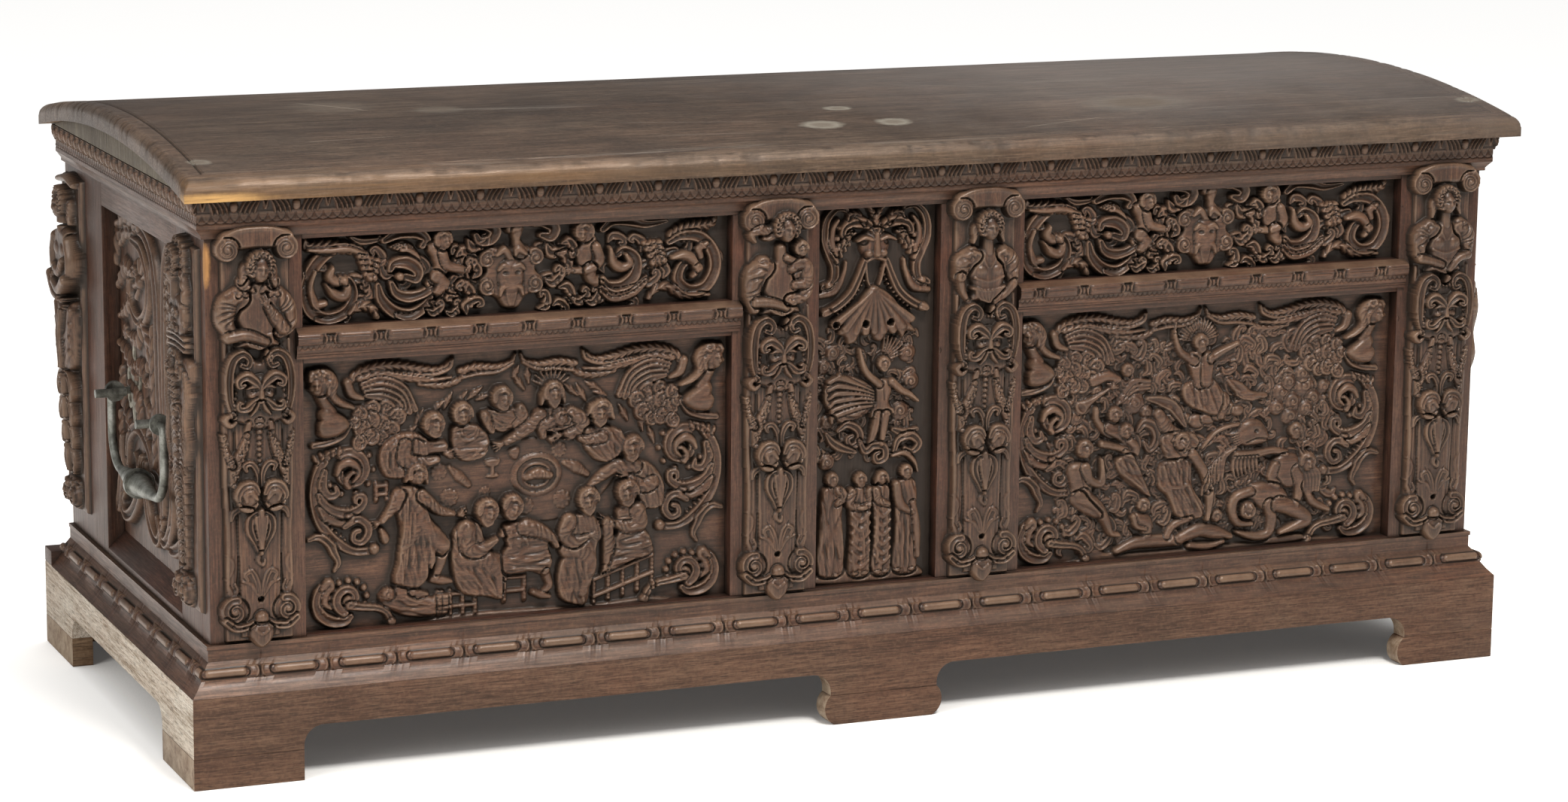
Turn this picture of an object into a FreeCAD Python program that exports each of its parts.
# Carved walnut chest with an arched lid, on a bracket plinth. Millimetres.
# X runs along the front, the front faces -Y, Z is up. The origin is under the middle of the chest.
import FreeCAD, Part
import math
import os
import Sketcher
from FreeCAD import Placement, Rotation, Vector

os.makedirs("parts", exist_ok=True)
doc = FreeCAD.newDocument("chest")
sheet = doc.addObject("Spreadsheet::Sheet", "Sizes")

DRIVING_SIZES = [
    ("overall_depth", 774.0, "front edge of the lid to the back of the plinth"),
    ("plinth_length", 1800.0, "plinth, end to end"),
    ("lid_overhang", 12.0, "lid beyond the front of the plinth"),
    ("plinth_height", 112.6, "floor to the top of the plinth boards"),
    ("plinth_board", 28.0, "thickness of the plinth boards and foot blocks"),
    ("foot_block", 38.5, "height of the blocks glued under the feet"),
    ("arch_height", 67.5, "floor to the top of the cut-outs"),
    ("corner_foot_front", 137.0, "corner foot, seen from the front"),
    ("corner_foot_side", 148.0, "corner foot, seen from the end"),
    ("middle_foot_neck", 148.0, "middle foot at the seam"),
    ("middle_foot_toe", 135.0, "middle foot at the floor"),
    ("ledger", 35.0, "strip inside the plinth, width"),
    ("ledger_rise", 27.0, "strip inside the plinth, height"),
    ("cleat", 25.0, "strip under the floor, width and height"),
    ("body_inset", 31.0, "plinth face to the face of the chest"),
    ("body_back_inset", 37.0, "plinth back to the back of the chest"),
    ("body_top", 709.3, "floor to the top of the frames"),
    ("base_rise", 57.4, "height of the base moulding"),
    ("base_reveal", 2.0, "bottom rail above the base moulding"),
    ("top_rail", 54.8, "top rail, height"),
    ("frieze", 106.5, "height of the frieze panels"),
    ("mid_rail", 44.0, "mid rail, height"),
    ("frame_thickness", 34.0, "thickness of the frames"),
    ("tenon", 40.0, "length of the tenons"),
    ("tenon_thickness", 10.0, "thickness of the tenons"),
    ("tenon_inset", 7.0, "frame face to tenon"),
    ("tenon_shoulder", 8.0, "tenon narrower than its rail, each side"),
    ("panel_lip", 8.0, "panel let into the frame, each side"),
    ("panel_recess", 20.0, "frame face to the ground of a front panel"),
    ("centre_half", 83.0, "half the width of the centre panel"),
    ("muntin_width", 117.0, "width of the inner uprights"),
    ("stile_width", 119.0, "width of the outer uprights"),
    ("shelf_lap", 9.0, "shelf moulding beyond the panel opening"),
    ("shelf_reach", 13.0, "shelf moulding proud of the frame"),
    ("end_rail", 81.3, "top rail of the ends, height"),
    ("end_sill", 87.4, "sill of the ends, height"),
    ("sill_fall", 22.0, "drop of the sloping sill"),
    ("end_recess", 22.5, "end face to the ground of the end panel"),
    ("floor_lift", 37.4, "floor boards above the plinth"),
    ("back_board", 22.0, "thickness of the back boards"),
    ("floor_board", 18.0, "thickness of the floor boards"),
    ("back_strip_rise", 20.0, "back strip, height above the plinth"),
    ("cornice_rise", 48.8, "height of the cornice"),
    ("cornice_reach", 17.0, "leaf moulding of the cornice, proud"),
    ("lid_gap", 0.3, "gap between the lid and what it shuts on"),
    ("lid_end_overhang", 3.0, "lid beyond the plinth, each end"),
    ("lid_back_gap", 1.0, "lid short of the back of the chest"),
    ("lid_thickness", 25.4, "thickness of the lid boards"),
    ("lid_rise", 35.0, "rise of the arch"),
    ("cheek", 18.0, "thickness of the end cheeks"),
    ("cheek_setback", 18.0, "lid end to the face of the cheek"),
    ("cheek_tip", 15.0, "lid edge to the tip of the cheek"),
    ("bearer_front", 100.0, "front bearing strip, width"),
    ("bearer_back", 62.0, "back bearing strip, width"),
    ("bearer_tip", 12.0, "lid edge to the bearing strip"),
    ("batten_width", 60.0, "width of the inside battens"),
    ("batten_thickness", 20.0, "thickness of the inside battens"),
    ("batten_inset", 470.0, "end of the plinth to the middle of a batten"),
    ("batten_gap", 5.0, "batten short of the bearing strips"),
    ("hinge_inset", 340.0, "end of the plinth to the middle of a hinge"),
    ("hinge_width", 60.0, "width of a hinge"),
    ("hinge_plate", 3.0, "thickness of a hinge leaf"),
    ("hinge_barrel", 7.0, "radius of the knuckles"),
    ("hinge_pin", 3.0, "radius of the hinge pin"),
    ("hinge_play", 0.05, "play of the pin in the lid's knuckle"),
    ("hinge_end_play", 0.4, "play between the knuckles"),
    ("hinge_drop", 110.0, "back leaf, length"),
    ("hinge_reach", 55.0, "lid leaf, length"),
    ("hinge_head", 4.5, "head of the hinge pin, radius"),
    ("hinge_head_rise", 2.0, "head of the hinge pin, height"),
    ("hinge_back_gap", 0.5, "knuckles clear of the back"),
    ("lock_half", 55.0, "half the width of the lock case"),
    ("lock_depth", 26.0, "depth of the lock case"),
    ("lock_top_gap", 9.3, "top of the frames to the top of the lock case"),
    ("lock_foot", 30.0, "keyhole to the foot of the lock case"),
    ("lock_wall", 2.0, "wall of the lock case"),
    ("bolt_drop", 26.3, "top of the frames to the middle of the bolt"),
    ("bolt_length", 42.0, "length of the bolt"),
    ("bolt_depth", 8.0, "thickness of the bolt"),
    ("bolt_rise", 10.0, "height of the bolt"),
    ("bolt_play", 0.1, "play of the bolt in its guides"),
    ("bolt_tip", 8.0, "middle to the tip of the drawn bolt"),
    ("guide", 7.0, "length of a bolt guide"),
    ("guide_wall", 4.0, "wall of a bolt guide"),
    ("staple_half", 3.0, "half the thickness of the staple"),
    ("staple_bar", 4.0, "width of the staple's bars"),
    ("staple_eye", 9.0, "width of the staple's eye"),
    ("staple_eye_rise", 14.0, "height of the staple's eye"),
    ("staple_plate", 24.0, "half the length of the staple's plate"),
    ("staple_slot", 2.0, "room round the staple in the case"),
    ("keyhole", 4.5, "radius of the keyhole"),
    ("keyhole_drop", 12.0, "slot under the keyhole"),
    ("key_pin", 2.2, "radius of the pin in the keyhole"),
    ("bail_spacing", 225.0, "between the eyes of a bail"),
    ("bail_proud", 5.0, "eyes proud of the end face"),
    ("bail_rod", 5.5, "radius of the bail's rod"),
    ("bail_neck", 5.0, "radius of the bail in its eyes"),
    ("bail_drop", 97.0, "eyes to the middle of the grip"),
    ("bail_shoulder", 10.0, "bend beside the eye"),
    ("bail_bend", 45.0, "lower bends of the bail"),
    ("bail_leg", 18.0, "leg outside the eye"),
    ("grip_collar", 19.0, "radius of the collar"),
    ("grip_collar_half", 4.0, "half the width of the collar"),
    ("grip_belly", 15.5, "radius of the grip beside the collar"),
    ("peg_in", 12.0, "cross peg, inside the eye"),
    ("peg_out", 28.0, "cross peg, outside the eye"),
    ("eye_ring", 13.0, "outer radius of the eye"),
    ("eye_width", 8.0, "width of the eye"),
    ("eye_play", 0.08, "play of the bail in the eye"),
    ("eye_stem", 4.5, "radius of the stem"),
    ("eye_clench", 9.0, "radius of the riveted head"),
    ("eye_clench_rise", 4.0, "height of the riveted head"),
    ("peg_gap", 0.6, "peg clear of the eye"),
    ("plate_thickness", 2.5, "back plates"),
    ("plate_half", 62.0, "half the height of a back plate"),
    ("plate_waist", 16.0, "radius of the middle of a back plate"),
    ("plate_lobe", 13.0, "radius of a lobe"),
    ("plate_hole", 6.0, "piercing of a lobe"),
    ("herm_foot_gap", 35.0, "base moulding to the foot of the pilaster's board"),
    ("herm_board_half", 42.0, "half the width of the pilaster's board"),
    ("herm_board", 8.0, "thickness of the pilaster's board"),
    ("herm_proud", 20.0, "capital proud of the frame"),
    ("capital_half", 50.0, "half the width of the capital"),
    ("capital_rise", 25.0, "height of the capital"),
    ("capital_volute", 17.0, "radius of the capital's volutes"),
    ("capital_back", 10.5, "upper slab clear of the cornice fillets"),
    ("term_half_high", 40.0, "half the width of the term, top"),
    ("term_half_low", 27.0, "half the width of the term, foot"),
    ("term_depth", 18.0, "term proud of the frame"),
    ("term_cap_half", 46.0, "half the width of the term's cap"),
    ("term_cap_rise", 18.0, "height of the term's cap"),
    ("foot_volute", 18.0, "radius of the foot volutes"),
    ("foot_volute_out", 31.0, "foot volute from the middle"),
    ("foot_volute_proud", 24.0, "foot volutes proud of the frame"),
    ("corner_herm_inset", 69.0, "chest front to the middle of a front corner carving"),
    ("corner_herm_back_inset", 58.0, "chest back to the middle of a back corner carving"),
    ("corner_herm_foot_gap", 30.0, "base moulding to the foot of a corner carving"),
    ("corner_herm_top_gap", 8.5, "cornice to the top of a corner carving"),
    ("corner_herm_half", 50.0, "half the width of a corner carving"),
    ("corner_herm_board", 6.0, "board of a corner carving"),
    ("overrun", 5.0, "how far a cut runs past what it cuts"),
]

# Shares of the length that each comment names
DRIVING_SHARES = [
    ("arch_round_share", 0.83, "rounding of a cut-out, of its side above the foot block"),
    ("foot_bulge_share", 0.61, "radius of the rounded toe, of the foot block"),
    ("base_bevel_share", 0.26, "foot bevel, of the inset"),
    ("base_bevel_rise_share", 0.15, "foot bevel, of the height"),
    ("band_foot_in_share", 0.47, "carved band's foot, of the inset"),
    ("band_foot_share", 0.303, "carved band's foot, of the height"),
    ("band_head_in_share", 0.697, "carved band's head, of the inset"),
    ("band_head_share", 0.556, "carved band's head, of the height"),
    ("band_round_share", 0.2265, "carved band's radius, of the height"),
    ("base_flat_in_share", 0.855, "upright flat, of the inset"),
    ("base_flat_share", 0.652, "upright flat's foot, of the height"),
    ("base_lip_share", 0.913, "small lip's foot, of the height"),
    ("base_lip_in_share", 0.806, "small lip, of the inset"),
    ("shelf_foot_share", 0.31, "shelf's lower fascia, of the reach"),
    ("shelf_low_share", 0.136, "shelf's underside, of the mid rail"),
    ("shelf_waist_share", 0.46, "below the shelf's band, of the reach"),
    ("shelf_waist_high_share", 0.44, "below the shelf's band, of the mid rail"),
    ("shelf_band_in_share", 0.7, "foot of the shelf's band, of the reach"),
    ("shelf_band_low_share", 0.49, "foot of the shelf's band, of the mid rail"),
    ("shelf_band_out_share", 0.92, "top of the shelf's band, of the reach"),
    ("shelf_band_high_share", 0.852, "top of the shelf's band, of the mid rail"),
    ("shelf_round_share", 0.27, "radius of the shelf's band, of the mid rail"),
    ("cornice_fillet_share", 0.3, "lowest fillet, of the reach"),
    ("cornice_fillet_rise_share", 0.082, "lowest fillet, of the height"),
    ("cornice_neck_share", 0.62, "head of the slope, of the reach"),
    ("cornice_neck_rise_share", 0.225, "head of the slope, of the height"),
    ("cornice_fascia_share", 0.706, "fascia, of the reach"),
    ("cornice_fascia_low_share", 0.256, "fascia's foot, of the height"),
    ("cornice_fascia_high_share", 0.594, "fascia's head, of the height"),
    ("cornice_leaf_share", 0.794, "leaf moulding's foot, of the reach"),
    ("cornice_leaf_round_share", 0.33, "leaf moulding's radius, of the height"),
    ("cornice_lip_share", 0.97, "top lip, of the height"),
    ("lid_nosing_share", 0.51, "rounded upper edge, of the lid boards"),
    ("lid_joint_front_share", 0.336, "front glue joint, of the lid's depth"),
    ("lid_joint_back_share", 0.675, "back glue joint, of the lid's depth"),
    ("end_stile_front_share", 0.1227, "front upright of the ends, of the overall depth"),
    ("end_stile_back_share", 0.252, "back upright of the ends, of the overall depth"),
    ("keyhole_share", 0.825, "keyhole, of the centre panel's height"),
    ("bail_share", 0.467, "eyes, of the end panel's height"),
    ("plate_lobe_out_share", 1.22, "lobe from the middle across, of the waist"),
    ("plate_lobe_up_share", 0.9, "lobe from the middle upwards, of the waist"),
    ("term_share", 0.6586, "top of the term, of the pilaster's board"),
]

# Rounded masses of a carving: half width, half depth, half height, then across and out.
MASS_WORDS = ("half_width", "half_depth", "half_height", "across", "out")
HERM_MASSES = {
    "head": (15.0, 15.0, 21.0, 0.0, 25.0),
    "neck": (9.0, 9.0, 18.0, 0.0, 17.0),
    "bust": (35.0, 20.0, 32.0, 0.0, 10.0),
    "elbow": (13.0, 13.0, 27.0, 33.0, 12.0),
    "cartouche": (53.0, 12.0, 33.0, 0.0, 6.0),
    "mask": (27.0, 20.0, 37.0, 0.0, 14.0),
    "fruit": (15.0, 15.0, 15.0, 15.5, 18.0),
    "leaf_drop": (15.0, 10.0, 44.0, 0.0, 16.0),
    "knob": (11.0, 11.0, 11.0, 0.0, 20.0),
    "tongue": (16.0, 8.5, 20.0, 0.0, 15.5),
}
CORNER_MASSES = {
    "scroll": (42.0, 20.0, 15.0, 0.0, 8.0),
    "head": (19.0, 19.0, 23.0, 0.0, 17.0),
    "bust": (34.0, 22.0, 42.0, 0.0, 8.0),
    "bracket": (40.0, 33.0, 70.0, 0.0, 0.0),
    "foliage": (30.0, 22.0, 62.0, 0.0, 0.0),
    "foot_scroll": (24.0, 22.0, 20.0, 0.0, 6.0),
}
# Heights of the masses as shares of the board behind them, from its foot
HERM_HEIGHT_SHARES = {
    "head": 0.9243,
    "neck": 0.8672,
    "bust": 0.8057,
    "elbow": 0.7706,
    "cartouche": 0.575,
    "mask": 0.595,
    "fruit": 0.3227,
    "leaf_drop": 0.2042,
    "knob": -0.0088,
    "tongue": -0.0505,
}
CORNER_HEIGHT_SHARES = {
    "scroll": 0.9646,
    "head": 0.8761,
    "bust": 0.7522,
    "bracket": 0.531,
    "foliage": 0.2655,
    "foot_scroll": 0.0487,
}


class Size:
    """A length, known as a number and as the sheet formula that gives it."""

    def __init__(self, formula, number):
        self.formula = formula
        self.number = number

    def combine(self, sign, other, number):
        text = other.formula if isinstance(other, Size) else str(other)
        return Size(f"({self.formula} {sign} {text})", number)

    def __add__(self, other):
        return self.combine("+", other, self.number + amount(other))

    def __sub__(self, other):
        return self.combine("-", other, self.number - amount(other))

    def __mul__(self, other):
        return self.combine("*", other, self.number * amount(other))

    def __truediv__(self, other):
        return self.combine("/", other, self.number / amount(other))

    def __neg__(self):
        return self * -1


def amount(value):
    return value.number if isinstance(value, Size) else value


def root(size):
    return Size(f"sqrt({size.formula})", math.sqrt(size.number))


def sheet_rows():
    """Every size and share as a name, a number and a note."""
    rows = list(DRIVING_SIZES) + list(DRIVING_SHARES)
    families = (("herm", HERM_MASSES, HERM_HEIGHT_SHARES),
                ("corner", CORNER_MASSES, CORNER_HEIGHT_SHARES))
    for family, masses, shares in families:
        for mass, numbers in masses.items():
            for word, number in zip(MASS_WORDS, numbers):
                rows.append((f"{family}_{mass}_{word}", number, f"{mass}, {word}"))
            rows.append((f"{family}_{mass}_share", shares[mass], f"{mass}, share of the height"))
    return rows


def fill_sheet():
    """Writes every driving size to the sheet and returns them by name."""
    rows = sheet_rows()
    for row, (alias, number, note) in enumerate(rows, start=1):
        sheet.set(f"A{row}", note)
        sheet.set(f"B{row}", str(number))
        sheet.setAlias(f"B{row}", alias)
    doc.recompute()
    return {alias: Size(f"Sizes.{alias}", float(sheet.get(alias))) for alias, _, _ in rows}


class Chest:
    """The driving sizes as attributes."""

    def __init__(self, sizes):
        self.__dict__.update(sizes)


s = Chest(fill_sheet())
ZERO = Size("0", 0.0)

# Faces and edges that several pieces share
half_length = s.plinth_length / 2
lid_front = -s.overall_depth / 2
plinth_front = lid_front + s.lid_overhang
plinth_back = s.overall_depth / 2
inner_half = half_length - s.plinth_board
inner_front = plinth_front + s.plinth_board
inner_back = plinth_back - s.plinth_board
face_y = plinth_front + s.body_inset
face_x = half_length - s.body_inset
frame_back_y = face_y + s.frame_thickness
frame_back_x = face_x - s.frame_thickness
body_back = plinth_back - s.body_back_inset
back_inner = body_back - s.back_board
body_low = s.plinth_height
base_top = s.plinth_height + s.base_rise
opening_low = base_top + s.base_reveal
opening_high = s.body_top - s.top_rail
mid_rail_high = opening_high - s.frieze
mid_rail_low = mid_rail_high - s.mid_rail
end_opening_low = s.plinth_height + s.end_sill
end_opening_high = s.body_top - s.end_rail
end_opening_front = frame_back_y + s.overall_depth * s.end_stile_front_share
end_opening_back = body_back - s.overall_depth * s.end_stile_back_share
floor_low = s.plinth_height + s.floor_lift
cornice_low = s.body_top - s.cornice_rise
arch_round = (s.arch_height - s.foot_block) * s.arch_round_share
foot_bulge = s.foot_block * s.foot_bulge_share
stile_edge = face_x - s.stile_width
muntin_edge = s.centre_half + s.muntin_width
herm_inner = s.centre_half + s.muntin_width / 2
herm_outer = face_x - s.stile_width / 2
herm_low = base_top + s.herm_foot_gap
herm_height = cornice_low - herm_low
term_high = herm_low + herm_height * s.term_share
corner_herm_low = base_top + s.corner_herm_foot_gap
corner_herm_high = cornice_low - s.corner_herm_top_gap
lid_back = body_back - s.lid_back_gap
lid_low = s.body_top + s.lid_gap
lid_half = half_length + s.lid_end_overhang
lid_chord = (lid_back - lid_front) / 2
lid_middle = (lid_back + lid_front) / 2
lid_radius = (lid_chord * lid_chord + s.lid_rise * s.lid_rise) / (s.lid_rise * 2)
lid_crown = lid_low + s.lid_thickness + s.lid_rise
lid_centre = lid_crown - lid_radius
lid_nosing = s.lid_thickness * s.lid_nosing_share
hinge_y = body_back + s.hinge_barrel + s.hinge_back_gap
hinge_place = half_length - s.hinge_inset
bail_x = face_x + s.bail_proud
bail_height = end_opening_low + (end_opening_high - end_opening_low) * s.bail_share
bail_middle = (end_opening_front + end_opening_back) / 2
keyhole_height = opening_low + (opening_high - opening_low) * s.keyhole_share
lock_high = s.body_top - s.lock_top_gap
lock_low = keyhole_height - s.lock_foot
bolt_height = s.body_top - s.bolt_drop
end_ground = face_x - s.end_recess
lock_back = frame_back_y + s.lock_depth
lock_middle = frame_back_y + s.lock_depth / 2

AXIS_TURN = {
    "x": Rotation(Vector(0, 1, 0), 90),
    "y": Rotation(Vector(1, 0, 0), -90),
    "z": Rotation(),
}


def bind(thing, path, size):
    thing.setExpression(path, size.formula)


def put(thing, place, turn=None):
    """Places a thing at three sizes, turned if need be."""
    if turn is not None:
        thing.Placement = Placement(Vector(), turn)
    for letter, size in zip("xyz", place):
        bind(thing, f"Placement.Base.{letter}", size)


def block(name, low, high):
    box = doc.addObject("Part::Box", name)
    for side, start, end in zip(("Length", "Width", "Height"), low, high):
        bind(box, side, end - start)
    put(box, low)
    return box


def rod(name, axis, start, length, radius):
    post = doc.addObject("Part::Cylinder", name)
    bind(post, "Radius", radius)
    bind(post, "Height", length)
    put(post, start, AXIS_TURN[axis])
    return post


def cone(name, axis, start, length, radius_low, radius_high):
    taper = doc.addObject("Part::Cone", name)
    bind(taper, "Radius1", radius_low)
    bind(taper, "Radius2", radius_high)
    bind(taper, "Height", length)
    put(taper, start, AXIS_TURN[axis])
    return taper


def egg(name, half_sizes, centre):
    """An ellipsoid with half width, half depth and half height, or a ball."""
    half_width, half_depth, half_height = half_sizes
    if half_width.number == half_depth.number == half_height.number:
        ball = doc.addObject("Part::Sphere", name)
        bind(ball, "Radius", half_width)
    else:
        ball = doc.addObject("Part::Ellipsoid", name)
        bind(ball, "Radius1", half_height)
        bind(ball, "Radius2", half_width)
        bind(ball, "Radius3", half_depth)
    put(ball, centre)
    return ball


def fuse(name, things):
    joined = doc.addObject("Part::MultiFuse", name)
    joined.Shapes = things
    return joined


def cut(name, base, tools):
    left = doc.addObject("Part::Cut", name)
    left.Base = base
    left.Tool = tools[0] if len(tools) == 1 else fuse(name + "_tools", tools)
    return left


def group(name, things):
    several = doc.addObject("Part::Compound", name)
    several.Links = things
    return several


def arc_between(start, end, radius, side):
    """The arc from start to end; side is 1 to bulge left of the way there, -1 right."""
    across = end - start
    middle = (start + end) / 2
    offset = math.sqrt(max(radius * radius - across.Length ** 2 / 4, 0))
    normal = Vector(across.y, -across.x, 0).normalize()
    centre = middle + normal * (offset * side)
    first, last = (start, end) if side < 0 else (end, start)
    angles = [math.atan2(point.y - centre.y, point.x - centre.x) for point in (first, last)]
    return Part.ArcOfCircle(Part.Circle(centre, Vector(0, 0, 1), radius), *angles)


def plate(name, plane, outline, low, high):
    """A padded outline. Each corner is (u, v), or (u, v, radius, side) where an arc leaves it."""
    body = doc.addObject("PartDesign::Body", name)
    sketch = body.newObject("Sketcher::SketchObject", name + "_outline")
    base_plane = next(f for f in body.Origin.OriginFeatures if f.Role == plane + "_Plane")
    sketch.AttachmentSupport = [(base_plane, "")]
    sketch.MapMode = "FlatFace"
    toward = -1 if plane == "XZ" else 1
    bind(sketch, "AttachmentOffset.Base.z", -high if toward < 0 else low)
    points = [Vector(corner[0].number, corner[1].number, 0) for corner in outline]
    rounded = {}
    for index, corner in enumerate(outline):
        start = points[index]
        end = points[(index + 1) % len(points)]
        if len(corner) == 2:
            sketch.addGeometry(Part.LineSegment(start, end))
            continue
        radius, side = corner[2], corner[3]
        sketch.addGeometry(arc_between(start, end, radius.number, side))
        rounded[index] = (radius, side)
    add_constraints(sketch, outline, rounded)
    pad = body.newObject("PartDesign::Pad", name + "_pad")
    pad.Profile = sketch
    bind(pad, "Length", high - low)
    sketch.Visibility = False
    return body


def add_constraints(sketch, outline, rounded):
    """Ties every corner of a sketch to the sheet, and every arc to its radius."""
    def end_points(index):
        """Vertex numbers at the start and end of an edge; arcs are stored anticlockwise."""
        return (2, 1) if index in rounded and rounded[index][1] > 0 else (1, 2)

    count = len(outline)
    for index in range(count):
        following = (index + 1) % count
        last = end_points(index)[1]
        first = end_points(following)[0]
        sketch.addConstraint(Sketcher.Constraint("Coincident", index, last, following, first))
    for index, corner in enumerate(outline):
        first = end_points(index)[0]
        for kind, size in (("DistanceX", corner[0]), ("DistanceY", corner[1])):
            number = size.number
            if abs(number) < 1e-9:
                other = "PointOnObject"
                axis = -2 if kind == "DistanceX" else -1
                sketch.addConstraint(Sketcher.Constraint(other, index, first, axis))
                continue
            place = sketch.addConstraint(Sketcher.Constraint(kind, -1, 1, index, first, number))
            sketch.setExpression(f"Constraints[{place}]", size.formula)
    for index, (radius, _) in rounded.items():
        place = sketch.addConstraint(Sketcher.Constraint("Radius", index, radius.number))
        sketch.setExpression(f"Constraints[{place}]", radius.formula)


def round_edges(body, chosen, radius):
    """Rounds the edges that a test picks from a padded body."""
    doc.recompute()
    tip = body.Tip
    names = [f"Edge{i}" for i, edge in enumerate(tip.Shape.Edges, start=1) if chosen(edge)]
    fillet = body.newObject("PartDesign::Fillet", body.Name + f"_round{len(body.Group)}")
    fillet.Base = (tip, names)
    bind(fillet, "Radius", radius)
    body.Tip = fillet
    return body


def along(edge, axis):
    """True for a straight edge that runs along one axis."""
    ends = [vertex.Point for vertex in edge.Vertexes]
    if len(ends) != 2:
        return False
    run = ends[1] - ends[0]
    others = [abs(getattr(run, letter)) for letter in "xyz" if letter != axis]
    return max(others) < 0.001


def mitre_wedge(name, signs, outer, inner, trims_end_piece, low, high):
    """A prism that trims a piece along the mitre of one corner of the chest."""
    first = [edge + s.overrun * sign for edge, sign in zip(outer, signs)]
    last = [edge - s.overrun * sign for edge, sign in zip(inner, signs)]
    third = (last[0], first[1]) if trims_end_piece else (first[0], last[1])
    outline = [tuple(first), third, tuple(last)]
    return plate(name, "XY", outline, low - s.overrun, high + s.overrun)


def mitred(name, blank, corners, depths, trims_end_piece, low, high):
    """Trims a blank at each listed corner; a corner is (outer x, outer y, sign x, sign y)."""
    depth_x, depth_y = depths
    wedges = []
    for number, (outer_x, outer_y, sign_x, sign_y) in enumerate(corners):
        inner = (outer_x - depth_x * sign_x, outer_y - depth_y * sign_y)
        wedge_name = f"{name}_mitre{number}"
        signs = (sign_x, sign_y)
        outer = (outer_x, outer_y)
        wedges.append(mitre_wedge(wedge_name, signs, outer, inner, trims_end_piece, low, high))
    return cut(name, blank, wedges)


def at_arch(edge, axis):
    """True for the inner corners of a cut-out, which lie at the height of its top."""
    return along(edge, axis) and abs(edge.Vertexes[0].Point.z - s.arch_height.number) < 0.01


def plinth_boards():
    foot_x = half_length - s.corner_foot_front
    neck = s.middle_foot_neck / 2
    low, mid, high = s.foot_block, s.arch_height, s.plinth_height
    front = [(-half_length, low), (-foot_x, low), (-foot_x, mid), (-neck, mid), (-neck, low),
             (neck, low), (neck, mid), (foot_x, mid), (foot_x, low), (half_length, low),
             (half_length, high), (-half_length, high)]
    back = [(-half_length, low), (-foot_x, low), (-foot_x, mid), (foot_x, mid), (foot_x, low),
            (half_length, low), (half_length, high), (-half_length, high)]
    front_foot = plinth_front + s.corner_foot_side
    back_foot = plinth_back - s.corner_foot_side
    end = [(plinth_front, low), (front_foot, low), (front_foot, mid), (back_foot, mid),
           (back_foot, low), (plinth_back, low), (plinth_back, high), (plinth_front, high)]
    depths = (s.plinth_board, s.plinth_board)
    boards = []
    for name, outline, near, far, sign in (("front", front, plinth_front, inner_front, -1),
                                           ("back", back, inner_back, plinth_back, 1)):
        blank = plate(f"plinth_{name}_blank", "XZ", outline, near, far)
        round_edges(blank, lambda edge: at_arch(edge, "y"), arch_round)
        outer = plinth_front if sign < 0 else plinth_back
        corners = [(-half_length, outer, -1, sign), (half_length, outer, 1, sign)]
        boards.append(mitred(f"plinth_{name}_board", blank, corners, depths, False, low, high))
    for name, near, far, sign in (("left", -half_length, -inner_half, -1),
                                  ("right", inner_half, half_length, 1)):
        blank = plate(f"plinth_{name}_blank", "YZ", end, near, far)
        round_edges(blank, lambda edge: at_arch(edge, "x"), arch_round)
        outer = half_length * sign
        corners = [(outer, plinth_front, sign, -1), (outer, plinth_back, sign, 1)]
        boards.append(mitred(f"plinth_{name}_board", blank, corners, depths, True, low, high))
    return boards


def foot_blocks():
    foot_x = half_length - s.corner_foot_front
    toe = s.middle_foot_toe / 2
    neck = s.middle_foot_neck / 2
    top = s.foot_block
    board_y = (plinth_front, inner_front)
    middle = [(-toe, ZERO, foot_bulge, 1), (-neck, top), (neck, top, foot_bulge, 1),
              (toe, ZERO)]
    right = [(foot_x, ZERO, foot_bulge, 1), (foot_x, top), (half_length, top),
             (half_length, ZERO)]
    side_end = plinth_front + s.corner_foot_side
    left_front = block("left_foot_front", (-half_length, plinth_front, ZERO),
                       (-foot_x, inner_front, top))
    left_side = block("left_foot_side", (-half_length, inner_front, ZERO),
                      (-inner_half, side_end, top))
    right_front = plate("right_foot_front", "XZ", right, *board_y)
    right_side = block("right_foot_side", (inner_half, inner_front, ZERO),
                       (half_length, side_end, top))
    backs = []
    for word, sign in (("left", -1), ("right", 1)):
        ends = sorted([half_length * sign, foot_x * sign], key=amount)
        walls = sorted([half_length * sign, inner_half * sign], key=amount)
        leg = block(f"back_{word}_leg", (ends[0], inner_back, ZERO), (ends[1], plinth_back, top))
        side = block(f"back_{word}_side", (walls[0], plinth_back - s.corner_foot_side, ZERO),
                     (walls[1], inner_back, top))
        backs.append(fuse(f"back_{word}_foot", [leg, side]))
    return [
        fuse("foot_front_left", [left_front, left_side]),
        plate("foot_front_middle", "XZ", middle, *board_y),
        fuse("foot_front_right", [right_front, right_side]),
        group("feet_back", backs),
    ]


def ledger_strips():
    """Strips that carry the frames inside the plinth, and the cleats under the floor."""
    low = s.plinth_height - s.ledger_rise
    high = s.plinth_height
    side = inner_half - s.ledger
    front_end = inner_front + s.ledger
    back_end = inner_back - s.ledger
    cleat_low = floor_low - s.cleat
    parts = [
        block("ledger_front", (-inner_half, inner_front, low), (inner_half, front_end, high)),
        block("ledger_back", (-inner_half, back_end, low), (inner_half, inner_back, high)),
        block("ledger_left", (-inner_half, front_end, low), (-side, back_end, high)),
        block("ledger_right", (side, front_end, low), (inner_half, back_end, high)),
        block("cleat_front", (-frame_back_x, frame_back_y, cleat_low),
              (frame_back_x, frame_back_y + s.cleat, floor_low)),
        block("cleat_back", (-frame_back_x, back_inner - s.cleat, cleat_low),
              (frame_back_x, back_inner, floor_low)),
    ]
    return [group("ledger_strips", parts)]


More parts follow.
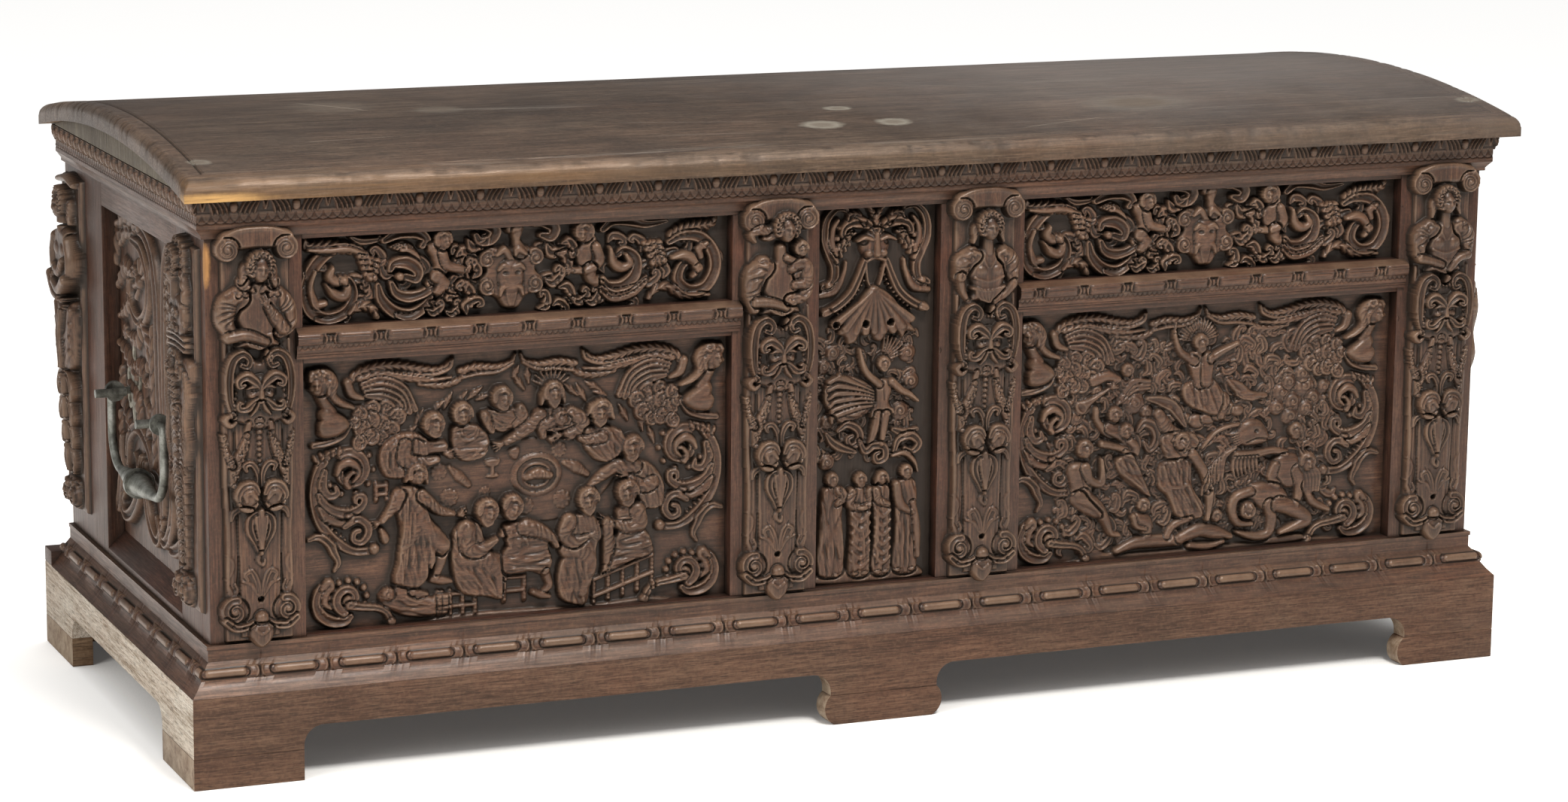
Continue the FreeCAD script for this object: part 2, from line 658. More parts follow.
def base_profile(outer, sign):
    """The base moulding's section; outer is the plinth face, sign points away from the chest."""
    def at(in_share, rise_share):
        return (outer - s.body_inset * in_share * sign,
                s.plinth_height + s.base_rise * rise_share)

    return [
        (outer, s.plinth_height),
        at(s.base_bevel_share, s.base_bevel_rise_share),
        at(s.band_foot_in_share, s.band_foot_share) + (s.base_rise * s.band_round_share, sign),
        at(s.band_head_in_share, s.band_head_share),
        at(s.base_flat_in_share, s.base_flat_share),
        at(s.base_flat_in_share, s.base_lip_share),
        at(s.base_lip_in_share, s.base_lip_share),
        (outer - s.body_inset * s.base_lip_in_share * sign, base_top),
        (outer - s.body_inset * sign, base_top),
        (outer - s.body_inset * sign, s.plinth_height),
    ]


def cornice_profile(face, sign):
    """The cornice's section; face is the frame face, sign points away from the chest."""
    def at(reach_share, rise_share):
        return (face + s.cornice_reach * reach_share * sign,
                cornice_low + s.cornice_rise * rise_share)

    fillet = face + s.cornice_reach * s.cornice_fillet_share * sign
    tip = face + s.cornice_reach * sign
    return [
        (face, cornice_low),
        (fillet, cornice_low),
        at(s.cornice_fillet_share, s.cornice_fillet_rise_share),
        at(s.cornice_neck_share, s.cornice_neck_rise_share),
        at(s.cornice_fascia_share, s.cornice_fascia_low_share),
        at(s.cornice_fascia_share, s.cornice_fascia_high_share),
        at(s.cornice_leaf_share, s.cornice_fascia_high_share)
        + (s.cornice_rise * s.cornice_leaf_round_share, sign),
        (tip, cornice_low + s.cornice_rise * s.cornice_lip_share),
        (tip, s.body_top),
        (face, s.body_top),
    ]


def run_of_moulding(name, profile, outer_x, outer_y, depth, low, high):
    """Front, left and right lengths of one moulding, mitred at the two front corners."""
    front = plate(f"{name}_front_blank", "YZ", profile(*outer_y[:2]), -outer_x, outer_x)
    corners = [(-outer_x, outer_y[2], -1, -1), (outer_x, outer_y[2], 1, -1)]
    depths = (depth, depth)
    pieces = [mitred(f"{name}_front", front, corners, depths, False, low, high)]
    for word, sign in (("left", -1), ("right", 1)):
        section = profile(outer_y[3] * sign, sign)
        blank = plate(f"{name}_{word}_blank", "XZ", section, outer_y[2], outer_y[4])
        corner = [(outer_x * sign, outer_y[2], sign, -1)]
        pieces.append(mitred(f"{name}_{word}", blank, corner, depths, True, low, high))
    return pieces


def base_mouldings():
    places = (plinth_front, -1, plinth_front, half_length, body_back)
    pieces = run_of_moulding("base_moulding", base_profile, half_length, places, s.body_inset,
                             s.plinth_height, base_top)
    strip = block("base_strip_back", (-half_length, body_back, s.plinth_height),
                  (half_length, plinth_back, s.plinth_height + s.back_strip_rise))
    return pieces + [strip]


def cornices():
    outer_x = face_x + s.cornice_reach
    outer_y = face_y - s.cornice_reach
    places = (face_y, -1, outer_y, face_x, body_back)
    return run_of_moulding("cornice", cornice_profile, outer_x, places, s.cornice_reach,
                           cornice_low, s.body_top)


def tenon_bar(name, low, high, axis, thin_axis, inward):
    """The bar that runs through a rail and stands out of both ends as its tenons."""
    first = list(low)
    last = list(high)
    index = "xyz".index(axis)
    thin = "xyz".index(thin_axis)
    wide = 3 - index - thin
    first[index] = low[index] - s.tenon
    last[index] = high[index] + s.tenon
    first[wide] = low[wide] + s.tenon_shoulder
    last[wide] = high[wide] - s.tenon_shoulder
    if inward > 0:
        first[thin] = low[thin] + s.tenon_inset
        last[thin] = first[thin] + s.tenon_thickness
    else:
        last[thin] = high[thin] - s.tenon_inset
        first[thin] = last[thin] - s.tenon_thickness
    return block(name, tuple(first), tuple(last))


def front_panels():
    """Blanks of the five front panels; they also cut the rebates that hold them."""
    ground = face_y + s.panel_recess
    spans = {
        "lower_panel_left": (-stile_edge, -muntin_edge, opening_low, mid_rail_low),
        "lower_panel_right": (muntin_edge, stile_edge, opening_low, mid_rail_low),
        "frieze_panel_left": (-stile_edge, -muntin_edge, mid_rail_high, opening_high),
        "frieze_panel_right": (muntin_edge, stile_edge, mid_rail_high, opening_high),
        "centre_panel": (-s.centre_half, s.centre_half, opening_low, opening_high),
    }
    blanks = {}
    for name, (left, right, low, high) in spans.items():
        label = name + "_blank" if name == "centre_panel" else name
        blanks[name] = block(label, (left - s.panel_lip, ground, low - s.panel_lip),
                             (right + s.panel_lip, frame_back_y, high + s.panel_lip))
    return blanks


def front_frame(panels):
    low_y, high_y = face_y, frame_back_y
    spans = {
        "front_top_rail": ((-stile_edge, opening_high), (stile_edge, s.body_top), "x"),
        "front_bottom_rail": ((-stile_edge, body_low), (stile_edge, opening_low), "x"),
        "mid_rail_left": ((-stile_edge, mid_rail_low), (-muntin_edge, mid_rail_high), "x"),
        "mid_rail_right": ((muntin_edge, mid_rail_low), (stile_edge, mid_rail_high), "x"),
        "front_muntin_left": ((-muntin_edge, opening_low),
                              (-s.centre_half, opening_high), "z"),
        "front_muntin_right": ((s.centre_half, opening_low),
                               (muntin_edge, opening_high), "z"),
    }
    bars = {}
    blanks = {}
    for name, (low, high, axis) in spans.items():
        first = (low[0], low_y, low[1])
        last = (high[0], high_y, high[1])
        bars[name] = tenon_bar(name + "_tenons", first, last, axis, "y", 1)
        blanks[name] = fuse(name + "_blank", [block(name + "_board", first, last), bars[name]])
    for word, sign in (("left", -1), ("right", 1)):
        edges = sorted([face_x * sign, stile_edge * sign], key=amount)
        blanks[f"front_stile_{word}"] = block(f"front_stile_{word}_board",
                                              (edges[0], low_y, body_low),
                                              (edges[1], high_y, s.body_top))
    touching = {
        "front_top_rail": ["front_muntin_left", "front_muntin_right"],
        "front_bottom_rail": ["front_muntin_left", "front_muntin_right"],
        "mid_rail_left": [],
        "mid_rail_right": [],
        "front_muntin_left": ["mid_rail_left"],
        "front_muntin_right": ["mid_rail_right"],
        "front_stile_left": ["front_top_rail", "front_bottom_rail", "mid_rail_left"],
        "front_stile_right": ["front_top_rail", "front_bottom_rail", "mid_rail_right"],
    }
    rebates = {
        "front_top_rail": ["frieze_panel_left", "frieze_panel_right", "centre_panel"],
        "front_bottom_rail": ["lower_panel_left", "lower_panel_right", "centre_panel"],
        "mid_rail_left": ["lower_panel_left", "frieze_panel_left"],
        "mid_rail_right": ["lower_panel_right", "frieze_panel_right"],
        "front_muntin_left": ["lower_panel_left", "frieze_panel_left", "centre_panel"],
        "front_muntin_right": ["lower_panel_right", "frieze_panel_right", "centre_panel"],
        "front_stile_left": ["lower_panel_left", "frieze_panel_left"],
        "front_stile_right": ["lower_panel_right", "frieze_panel_right"],
    }
    pieces = []
    for name, blank in blanks.items():
        tools = [bars[other] for other in touching[name]]
        tools += [panels[panel] for panel in rebates[name]]
        pieces.append(cut(name, blank, tools))
    return pieces


def centre_panel(blank):
    """The centre panel, pierced by the keyhole."""
    ground = face_y + s.panel_recess
    start = ground - s.overrun
    length = s.frame_thickness + s.overrun
    hole = rod("keyhole_round", "y", (ZERO, start, keyhole_height), length, s.keyhole)
    slot = block("keyhole_slot",
                 (-s.key_pin, start, keyhole_height - s.keyhole_drop),
                 (s.key_pin, start + length, keyhole_height))
    return [cut("centre_panel", blank, [hole, slot])]


def mid_mouldings():
    """The shelf mouldings planted on the two mid rails."""
    def at(reach_share, rise_share):
        return (face_y - s.shelf_reach * reach_share, mid_rail_low + s.mid_rail * rise_share)

    shelf_low = mid_rail_low + s.mid_rail * s.shelf_low_share
    section = [
        (face_y, shelf_low),
        at(s.shelf_foot_share, s.shelf_low_share),
        at(s.shelf_waist_share, s.shelf_waist_high_share),
        at(s.shelf_band_in_share, s.shelf_band_low_share)
        + (s.mid_rail * s.shelf_round_share, -1),
        at(s.shelf_band_out_share, s.shelf_band_high_share),
        (face_y, mid_rail_high),
    ]
    low = muntin_edge - s.shelf_lap
    high = stile_edge + s.shelf_lap
    left = plate("shelf_left", "YZ", section, -high, -low)
    right = plate("shelf_right", "YZ", section, low, high)
    return [group("mid_mouldings", [left, right])]


def end_frames():
    """The two framed ends: two uprights, a top rail, a sloping sill and a panel each."""
    pieces = []
    for word, sign in (("left", -1), ("right", 1)):
        outer = face_x * sign
        inner = frame_back_x * sign
        ground = end_ground * sign
        low_x, high_x = sorted([outer, inner], key=amount)
        panel_x = sorted([ground, inner], key=amount)
        front_edge, back_edge = end_opening_front, end_opening_back
        low_z, high_z = end_opening_low, end_opening_high
        panel = block(f"{word}_end_panel_blank",
                      (panel_x[0], front_edge - s.panel_lip, low_z - s.panel_lip),
                      (panel_x[1], back_edge + s.panel_lip, high_z + s.panel_lip))
        top_low, top_high = (low_x, front_edge, high_z), (high_x, back_edge, s.body_top)
        sill_low, sill_high = (low_x, front_edge, body_low), (high_x, back_edge, low_z)
        top_bar = tenon_bar(f"{word}_top_tenons", top_low, top_high, "y", "x", -sign)
        sill_under = (high_x, back_edge, low_z - s.sill_fall)
        sill_bar = tenon_bar(f"{word}_sill_tenons", sill_low, sill_under, "y", "x", -sign)
        top = fuse(f"{word}_top_blank", [block(f"{word}_top_board", top_low, top_high), top_bar])
        slope = [(inner, body_low), (outer, body_low), (outer, low_z - s.sill_fall),
                 (ground, low_z), (inner, low_z)]
        sill_board = plate(f"{word}_sill_board", "XZ", slope, front_edge, back_edge)
        sill = fuse(f"{word}_sill_blank", [sill_board, sill_bar])
        tools = [top_bar, sill_bar, panel]
        stile_front = block(f"{word}_stile_front_board", (low_x, frame_back_y, body_low),
                            (high_x, front_edge, s.body_top))
        stile_back = block(f"{word}_stile_back_board", (low_x, back_edge, body_low),
                           (high_x, body_back, s.body_top))
        stiles = [cut(f"{word}_stile_front", stile_front, tools),
                  cut(f"{word}_stile_back", stile_back, tools)]
        rails = [cut(f"{word}_top_rail", top, [panel]), cut(f"{word}_sill", sill, [panel])]
        stems = [rod(f"{word}_stem_hole_{tag}", "x", (low_x, eye_y(side), bail_height),
                     s.frame_thickness, s.eye_stem) for tag, side in (("front", -1), ("back", 1))]
        pieces += [group(f"{word}_end_stiles", stiles), group(f"{word}_end_rails", rails),
                   cut(f"{word}_end_panel", panel, stems)]
    return pieces


def eye_y(side):
    """Where an eye of a bail stands along the end of the chest."""
    return bail_middle + s.bail_spacing * side / 2


def row_of_boards(name, count, low, high, axis):
    """Equal boards side by side between two corners."""
    index = "xyz".index(axis)
    step = (high[index] - low[index]) / count
    boards = []
    for number in range(count):
        first = list(low)
        last = list(high)
        first[index] = low[index] + step * number
        last[index] = low[index] + step * (number + 1)
        boards.append(block(f"{name}_{number + 1}", tuple(first), tuple(last)))
    return group(name, boards)


def back_and_floor():
    back = row_of_boards("back_boards", 3, (-frame_back_x, back_inner, body_low),
                         (frame_back_x, body_back, s.body_top), "z")
    floor = row_of_boards("floor_boards", 4, (-frame_back_x, frame_back_y, floor_low),
                          (frame_back_x, back_inner, floor_low + s.floor_board), "x")
    return [back, floor]


def masses(family, table, mirrored, foot, height):
    """The rounded masses of a carving, each once or as a mirrored pair."""
    made = []
    for mass in table:
        values = [getattr(s, f"{family}_{mass}_{word}") for word in MASS_WORDS]
        halves, (across, out) = values[:3], values[3:]
        level = foot + height * getattr(s, f"{family}_{mass}_share")
        sides = (-1, 1) if mass in mirrored else (1,)
        for side in sides:
            tag = f"{family}_{mass}_{'l' if side < 0 else 'r'}"
            made.append(egg(tag, halves, (across * side, -out, level)))
    return made


def pilaster_master():
    """One pilaster about its own middle, its back on the plane y = 0."""
    top = cornice_low
    proud = -s.herm_proud
    lip = s.cornice_reach * s.cornice_fillet_share
    board = block("herm_backboard", (-s.herm_board_half, -s.herm_board, herm_low),
                  (s.herm_board_half, ZERO, top))
    capital = block("herm_capital", (-s.capital_half + s.capital_volute, proud,
                                     top - s.capital_rise),
                    (s.capital_half - s.capital_volute, ZERO, top))
    slab = block("herm_slab", (-s.capital_half, proud, top - lip),
                 (s.capital_half, -s.capital_back,
                  top + s.cornice_rise * s.cornice_neck_rise_share))
    volutes = []
    for word, side in (("left", -1), ("right", 1)):
        across = (s.capital_half - s.capital_volute) * side
        volutes.append(rod(f"herm_volute_{word}", "y", (across, proud, top - s.capital_volute),
                           s.herm_proud, s.capital_volute))
        foot = s.foot_volute_out * side
        volutes.append(rod(f"herm_foot_{word}", "y",
                           (foot, -s.foot_volute_proud, herm_low + lip),
                           s.foot_volute_proud, s.foot_volute))
    taper = [(-s.term_half_low, herm_low), (s.term_half_low, herm_low),
             (s.term_half_high, term_high), (-s.term_half_high, term_high)]
    term = plate("herm_term", "XZ", taper, -s.term_depth, ZERO)
    cap = block("herm_cap", (-s.term_cap_half, proud, term_high),
                (s.term_cap_half, ZERO, term_high + s.term_cap_rise))
    rounded = masses("herm", HERM_MASSES, ("elbow", "fruit"), herm_low, herm_height)
    whole = fuse("herm_whole", [board, capital, slab, term, cap] + volutes + rounded)
    behind = block("herm_behind", (-s.capital_half * 2, ZERO, ZERO),
                   (s.capital_half * 2, s.capital_half * 2, s.body_top))
    return cut("herm_master", whole, [behind])


def corner_master():
    """One corner carving about its own middle, its back on the plane y = 0."""
    half = s.corner_herm_half
    board = block("corner_backboard", (-half, -s.corner_herm_board, corner_herm_low),
                  (half, ZERO, corner_herm_high))
    height = corner_herm_high - corner_herm_low
    rounded = masses("corner", CORNER_MASSES, (), corner_herm_low, height)
    whole = fuse("corner_whole", [board] + rounded)
    behind = block("corner_behind", (-half * 2, ZERO, ZERO), (half * 2, half * 2, s.body_top))
    return cut("corner_master", whole, [behind])


def carvings():
    pilaster = pilaster_master()
    corner = corner_master()
    pieces = []
    for name, middle in (("herm_outer_left", -herm_outer),
                         ("herm_inner_left", -herm_inner), ("herm_inner_right", herm_inner),
                         ("herm_outer_right", herm_outer)):
        copy = group(name, [pilaster])
        put(copy, (middle, face_y, ZERO))
        pieces.append(copy)
    for word, sign in (("left", -1), ("right", 1)):
        turn = Rotation(Vector(0, 0, 1), 90 * sign)
        for place, middle in (("front", face_y + s.corner_herm_inset),
                              ("back", body_back - s.corner_herm_back_inset)):
            copy = group(f"corner_herm_{word}_{place}", [corner])
            put(copy, (face_x * sign, middle, ZERO), turn)
            pieces.append(copy)
    return pieces


def arch_at(drop, edge):
    """Height under the lid's outer arc, less a drop, at a place from front to back."""
    across = edge - lid_middle
    return lid_centre - drop + root(lid_radius * lid_radius - across * across)


def hinge_notches(tag):
    """Room for the two lid leaves, cut from whatever lies on them."""
    notches = []
    half = s.hinge_width / 2
    for word, side in (("left", -1), ("right", 1)):
        middle = hinge_place * side
        notches.append(block(f"{tag}_notch_{word}",
                             (middle - half, hinge_y - s.hinge_reach, lid_low - s.overrun),
                             (middle + half, lid_back + s.overrun, lid_low + s.hinge_plate)))
    return notches


def lid_boards():
    """The arched lid, its upper edges rounded, parted into three boards."""
    edge_top = lid_low + s.lid_thickness
    section = [(lid_front, lid_low), (lid_front, edge_top, lid_radius, 1),
               (lid_back, edge_top), (lid_back, lid_low, lid_radius, -1)]
    whole = plate("lid_whole", "YZ", section, -lid_half, lid_half)
    round_edges(whole, on_lid_outline, lid_nosing)
    depth = lid_back - lid_front
    joints = [lid_front - s.overrun, lid_front + depth * s.lid_joint_front_share,
              lid_front + depth * s.lid_joint_back_share, lid_back + s.overrun]
    boards = []
    for number, (near, far) in enumerate(zip(joints, joints[1:]), start=1):
        slice_box = block(f"lid_slice_{number}", (-lid_half - s.overrun, near, ZERO),
                          (lid_half + s.overrun, far, lid_crown + s.overrun))
        board = doc.addObject("Part::Common", f"lid_board_{number}")
        board.Base = whole
        board.Tool = slice_box
        boards.append(board)
    boards[-1] = cut("lid_board_back", boards[-1], hinge_notches("board"))
    return [group("lid_boards", boards)]


def on_lid_outline(edge):
    """True for the four upper edges round the lid."""
    points = [vertex.Point for vertex in edge.Vertexes]
    level = lid_low.number + s.lid_thickness.number
    return len(points) == 2 and all(abs(point.z - level) < 0.01 for point in points)


def under_arch(name, near, far, thickness, low_x, high_x):
    """A piece that fits under the arch: flat below, or as thick as stated."""
    board = s.lid_thickness
    top = [arch_at(board, edge) for edge in (near, far)]
    if thickness is None:
        section = [(near, lid_low), (near, top[0], lid_radius, 1), (far, top[1]),
                   (far, lid_low)]
    else:
        low = [arch_at(board + thickness, edge) for edge in (near, far)]
        section = [(near, low[0]), (near, top[0], lid_radius, 1), (far, top[1]),
                   (far, low[1], lid_radius, -1)]
    return plate(name, "YZ", section, low_x, high_x)


def lid_fittings():
    cheek_out = lid_half - s.cheek_setback
    cheek_in = cheek_out - s.cheek
    front_tip, back_tip = lid_front + s.cheek_tip, lid_back - s.cheek_tip
    cheeks = [under_arch("cheek_left", front_tip, back_tip, None, -cheek_out, -cheek_in),
              under_arch("cheek_right", front_tip, back_tip, None, cheek_in, cheek_out)]
    front_near = lid_front + s.bearer_tip
    front_far = front_near + s.bearer_front
    back_far = lid_back - s.bearer_tip
    back_near = back_far - s.bearer_back
    bearer_front = under_arch("bearer_front_strip", front_near, front_far, None, -cheek_in,
                              cheek_in)
    back_blank = under_arch("bearer_back_blank", back_near, back_far, None, -cheek_in, cheek_in)
    bearer_back = cut("bearer_back_strip", back_blank, hinge_notches("bearer"))
    battens = []
    for word, side in (("left", -1), ("right", 1)):
        middle = (half_length - s.batten_inset) * side
        half = s.batten_width / 2
        battens.append(under_arch(f"batten_{word}", front_far + s.batten_gap,
                                  back_near - s.batten_gap, s.batten_thickness,
                                  middle - half, middle + half))
    return [group("lid_cheeks", cheeks), group("lid_bearers", [bearer_front, bearer_back]),
            group("lid_battens", battens)]


def hinges():
    """Two hinges: a leaf under the lid, a leaf down the back and a headed pin each."""
    lid_leaves, back_leaves, pins = [], [], []
    third = s.hinge_width / 3
    for word, side in (("left", -1), ("right", 1)):
        start = hinge_place * side - s.hinge_width / 2
        mid_low = start + third + s.hinge_end_play
        mid_length = third - s.hinge_end_play * 2
        knuckle = rod(f"lid_knuckle_{word}", "x", (mid_low, hinge_y, lid_low), mid_length,
                      s.hinge_barrel)
        leaf = block(f"lid_leaf_{word}", (start, hinge_y - s.hinge_reach, lid_low),
                     (start + s.hinge_width, body_back - s.lid_back_gap,
                      lid_low + s.hinge_plate))
        tongue = block(f"lid_tongue_{word}", (mid_low, body_back - s.lid_back_gap, lid_low),
                       (mid_low + mid_length, hinge_y, lid_low + s.hinge_plate))
        bore = rod(f"lid_bore_{word}", "x", (start, hinge_y, lid_low), s.hinge_width,
                   s.hinge_pin + s.hinge_play)
        lid_leaves.append(cut(f"lid_hinge_{word}", fuse(f"lid_hinge_{word}_blank",
                                                       [knuckle, leaf, tongue]), [bore]))
        ends = [rod(f"back_knuckle_{word}_{number}", "x",
                    (start + third * 2 * number, hinge_y, lid_low), third, s.hinge_barrel)
                for number in (0, 1)]
        drop = block(f"back_leaf_{word}", (start, body_back, lid_low - s.hinge_drop),
                     (start + s.hinge_width, body_back + s.hinge_plate, lid_low))
        pin_hole = rod(f"back_bore_{word}", "x", (start, hinge_y, lid_low), s.hinge_width,
                       s.hinge_pin)
        room = block(f"back_room_{word}",
                     (start + third, body_back, lid_low - s.hinge_barrel - s.hinge_back_gap),
                     (start + third * 2, body_back + s.hinge_plate, lid_low))
        back_leaves.append(cut(f"back_hinge_{word}", fuse(f"back_hinge_{word}_blank",
                                                         ends + [drop]), [pin_hole, room]))
        shank = rod(f"hinge_shank_{word}", "x", (start, hinge_y, lid_low), s.hinge_width,
                    s.hinge_pin)
        head = rod(f"hinge_head_{word}", "x", (start - s.hinge_head_rise, hinge_y, lid_low),
                   s.hinge_head_rise, s.hinge_head)
        pins.append(fuse(f"hinge_pin_{word}", [shank, head]))
    return [group("hinge_lid_leaves", lid_leaves), group("hinge_back_leaves", back_leaves),
            group("hinge_pins", pins)]


def lock():
    """Case, sliding bolt, and the staple on the lid that the bolt passes through."""
    half, wall = s.lock_half, s.lock_wall
    shell = block("lock_shell", (-half, frame_back_y, lock_low), (half, lock_back, lock_high))
    cavity = block("lock_cavity", (-half + wall, frame_back_y + wall, lock_low + wall),
                   (half - wall, lock_back - wall, lock_high - wall))
    bolt_half = s.bolt_depth / 2
    rise_half = s.bolt_rise / 2
    guide_starts = {
        "tail": -s.bolt_tip - s.bolt_length * 2 / 3,
        "near": -s.bolt_tip - s.guide,
        "far": s.bolt_tip,
    }
    guides = [block(f"lock_guide_{word}",
                    (start, frame_back_y + wall, bolt_height - rise_half - s.guide_wall),
                    (start + s.guide, lock_back - wall,
                     bolt_height + rise_half + s.guide_wall))
              for word, start in guide_starts.items()]
    play = s.bolt_play
    passage = block("bolt_passage",
                    (-half + wall, lock_middle - bolt_half - play,
                     bolt_height - rise_half - play),
                    (half - wall, lock_middle + bolt_half + play,
                     bolt_height + rise_half + play))
    staple_wide = s.staple_eye / 2 + s.staple_bar
    slot = block("staple_slot", (-s.staple_half - s.staple_slot,
                                 lock_middle - staple_wide - s.staple_slot,
                                 lock_high - wall),
                 (s.staple_half + s.staple_slot, lock_middle + staple_wide + s.staple_slot,
                  lock_high))
    key_way = rod("key_way", "y", (ZERO, frame_back_y, keyhole_height), wall, s.keyhole)
    hollow = cut("lock_hollow", shell, [cavity, slot, key_way])
    pin_start = face_y + s.panel_recess
    key_pin = rod("lock_key_pin", "y", (ZERO, pin_start, keyhole_height),
                  lock_back - wall - pin_start, s.key_pin)
    case = cut("lock_case", fuse("lock_case_blank", [hollow, key_pin] + guides), [passage])
    bolt = block("lock_bolt", (-s.bolt_tip - s.bolt_length, lock_middle - bolt_half,
                               bolt_height - rise_half),
                 (-s.bolt_tip, lock_middle + bolt_half, bolt_height + rise_half))
    eye_half = s.staple_eye_rise / 2
    loop = block("staple_loop", (-s.staple_half, lock_middle - staple_wide,
                                 bolt_height - eye_half - s.staple_bar),
                 (s.staple_half, lock_middle + staple_wide, lid_low))
    foot = block("staple_foot", (-s.staple_plate, lock_middle - staple_wide,
                                 lid_low - s.hinge_plate),
                 (s.staple_plate, lock_middle + staple_wide, lid_low))
    eye = block("staple_hole", (-s.staple_half, lock_middle - s.staple_eye / 2,
                                bolt_height - eye_half),
                (s.staple_half, lock_middle + s.staple_eye / 2, bolt_height + eye_half))
    staple = cut("lid_staple", fuse("lid_staple_blank", [loop, foot]), [eye])
    return [case, bolt, staple]


def bail(word, sign):
    """A drop handle: cross pegs, necks through the eyes, two bent legs and a swelling grip."""
    x = (bail_x * sign).number
    radius = s.bail_rod.number
    drop_z = (bail_height - s.bail_drop).number
    middle = bail_middle.number
    pieces = []
    for side in (-1, 1):
        eye = Vector(x, eye_y(side).number, bail_height.number)
        shoulder = s.bail_shoulder.number
        bend = s.bail_bend.number
        leg_y = eye.y + side * s.bail_leg.number
        turn = Vector(x, leg_y - side * shoulder, eye.z - shoulder)
        low_turn = Vector(x, leg_y - side * bend, drop_z + bend)
        half_root = math.sqrt(0.5)
        start = Vector(x, turn.y, eye.z)
        high_mid = turn + Vector(0, side * shoulder * half_root, shoulder * half_root)
        high_end = Vector(x, leg_y, turn.z)
        low_start = Vector(x, leg_y, low_turn.z)
        low_mid = low_turn + Vector(0, side * bend * half_root, -bend * half_root)
        low_end = Vector(x, low_turn.y, drop_z)
        path = Part.Wire([Part.Arc(start, high_mid, high_end).toShape(),
                          Part.LineSegment(high_end, low_start).toShape(),
                          Part.Arc(low_start, low_mid, low_end).toShape()])
        ring = Part.Circle(start, Vector(0, 1, 0), radius).toShape()
        pieces.append(path.makePipeShell([Part.Wire([ring])], True, False))
        peg_y = eye.y - side * (s.eye_width / 2 + s.peg_gap + s.bail_rod).number
        inner = peg_y if side > 0 else start.y
        length = abs(start.y - peg_y)
        neck_radius = s.bail_neck.number
        pieces.append(Part.makeCylinder(neck_radius, length, Vector(x, inner, eye.z),
                                        Vector(0, 1, 0)))
        peg_start = Vector(x - sign * s.peg_in.number, peg_y, eye.z)
        peg_length = (s.peg_in + s.peg_out).number
        pieces.append(Part.makeCylinder(radius, peg_length, peg_start, Vector(sign, 0, 0)))
        reach = abs(low_end.y - middle)
        collar = s.grip_collar_half.number
        pieces.append(Part.makeCone(s.grip_belly.number, radius, reach - collar,
                                    Vector(x, middle + side * collar, drop_z),
                                    Vector(0, side, 0)))
    pieces.append(Part.makeCylinder(s.grip_collar.number, s.grip_collar_half.number * 2,
                                    Vector(x, middle - s.grip_collar_half.number, drop_z),
                                    Vector(0, 1, 0)))
    handle = doc.addObject("Part::Feature", f"bail_{word}")
    handle.Shape = pieces[0].multiFuse(pieces[1:]).removeSplitter()
    handle.Placement = Placement()
    return handle


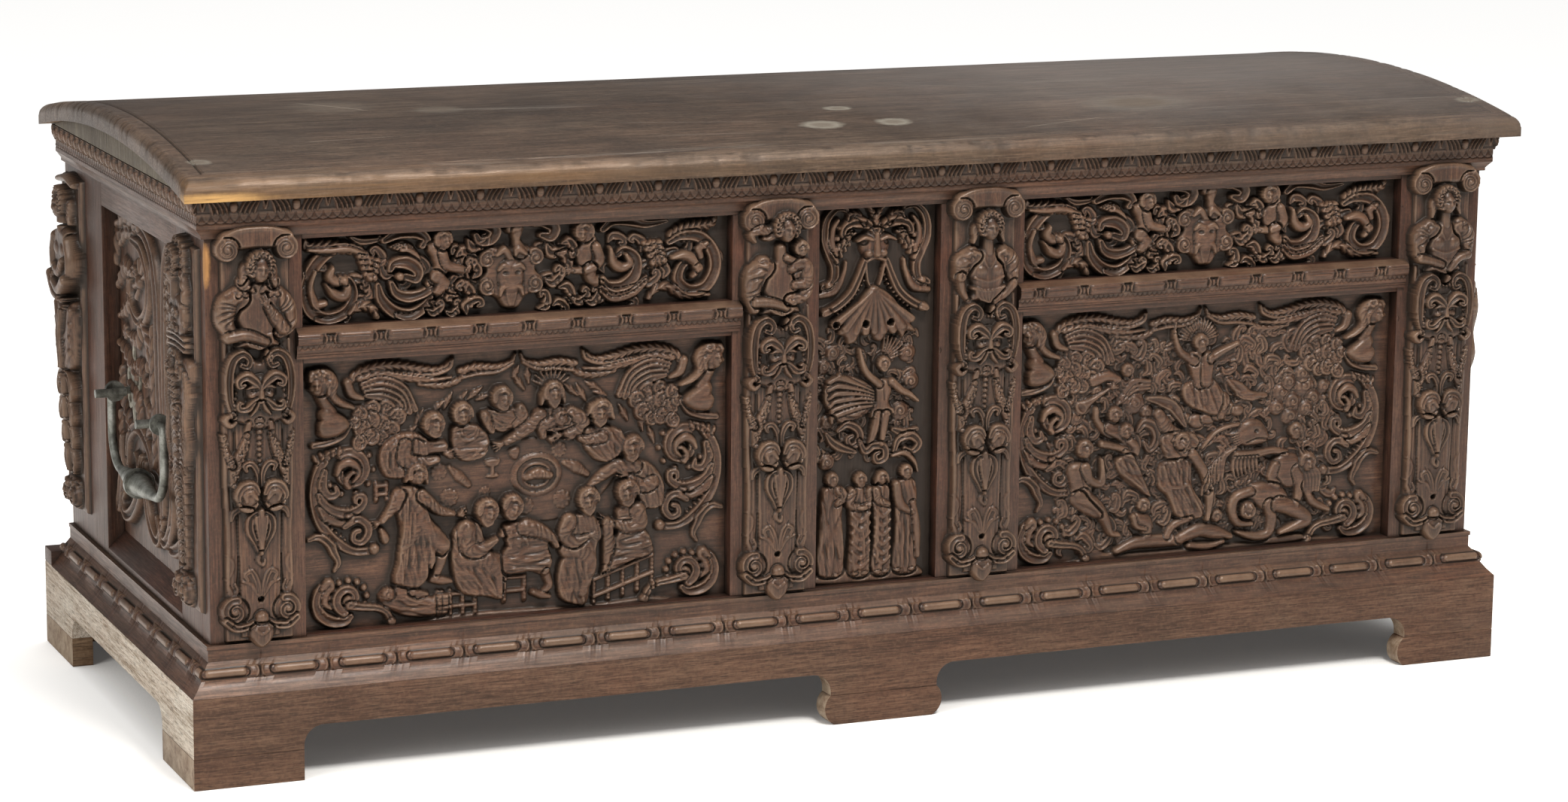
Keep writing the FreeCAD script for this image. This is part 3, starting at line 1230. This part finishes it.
def eyebolts_and_plates():
    """An eye on a riveted stem at each end of a bail, and the pierced plate behind it."""
    bolts, plates = [], []
    for word, sign in (("left", -1), ("right", 1)):
        for tag, side in (("front", -1), ("back", 1)):
            name = f"{word}_{tag}"
            y = eye_y(side)
            half = s.eye_width / 2
            ring = rod(f"eye_ring_{name}", "y", (bail_x * sign, y - half, bail_height),
                       s.eye_width, s.eye_ring)
            inside = (frame_back_x - s.eye_clench_rise) * sign
            ends = sorted([bail_x * sign, inside], key=amount)
            stem = rod(f"eye_stem_{name}", "x", (ends[0], y, bail_height), ends[1] - ends[0],
                       s.eye_stem)
            heads = sorted([frame_back_x * sign, inside], key=amount)
            head = rod(f"eye_head_{name}", "x", (heads[0], y, bail_height),
                       s.eye_clench_rise, s.eye_clench)
            hole = rod(f"eye_hole_{name}", "y",
                       (bail_x * sign, y - half - s.overrun, bail_height),
                       s.eye_width + s.overrun * 2, s.bail_neck + s.eye_play)
            bolts.append(cut(f"eyebolt_{name}", fuse(f"eyebolt_{name}_blank",
                                                     [ring, stem, head]), [hole]))
            plates.append(back_plate(name, sign, y))
    return [group("bail_eyebolts", bolts), group("bail_plates", plates)]


def back_plate(name, sign, y):
    """A pierced plate: a tall lozenge, a round middle and four pierced lobes."""
    low, high = sorted([end_ground * sign, (end_ground + s.plate_thickness) * sign], key=amount)
    z = bail_height
    waist = s.plate_waist
    tall = [(y, z - s.plate_half), (y + waist, z), (y, z + s.plate_half), (y - waist, z)]
    parts = [plate(f"plate_tall_{name}", "YZ", tall, low, high),
             rod(f"plate_middle_{name}", "x", (low, y, z), high - low, waist)]
    holes = [rod(f"plate_bore_{name}", "x", (low, y, z), high - low, s.eye_stem)]
    for across in (-1, 1):
        for up in (-1, 1):
            tag = f"{name}_{across + 1}{up + 1}"
            spot = (low, y + waist * s.plate_lobe_out_share * across,
                    z + waist * s.plate_lobe_up_share * up)
            parts.append(rod(f"plate_lobe_{tag}", "x", spot, high - low, s.plate_lobe))
            holes.append(rod(f"plate_hole_{tag}", "x", spot, high - low, s.plate_hole))
    return cut(f"plate_{name}", fuse(f"plate_{name}_blank", parts), holes)


def build():
    panels = front_panels()
    nodes = plinth_boards() + foot_blocks() + ledger_strips() + base_mouldings()
    nodes += front_frame(panels) + mid_mouldings()
    nodes += [panel for name, panel in panels.items() if name != "centre_panel"]
    nodes += centre_panel(panels["centre_panel"])
    nodes += end_frames() + back_and_floor() + carvings() + cornices()
    nodes += lid_boards() + lid_fittings() + hinges() + lock()
    nodes += [bail("left", -1), bail("right", 1)] + eyebolts_and_plates()
    return nodes


def check_and_export(nodes):
    doc.recompute()
    for thing in doc.Objects:
        if "Invalid" in thing.State or "Error" in thing.State:
            raise RuntimeError(f"{thing.Label} failed: {thing.State}")
    for node in nodes:
        shape = node.Shape
        if shape.isNull() or not shape.isValid() or not shape.Solids:
            raise RuntimeError(f"{node.Label} has no valid solid")
    for node in nodes:
        node.Shape.exportStep(os.path.join("parts", node.Label + ".step"))
    print(len(nodes), "nodes,", sum(len(node.Shape.Solids) for node in nodes), "solids")


check_and_export(build())
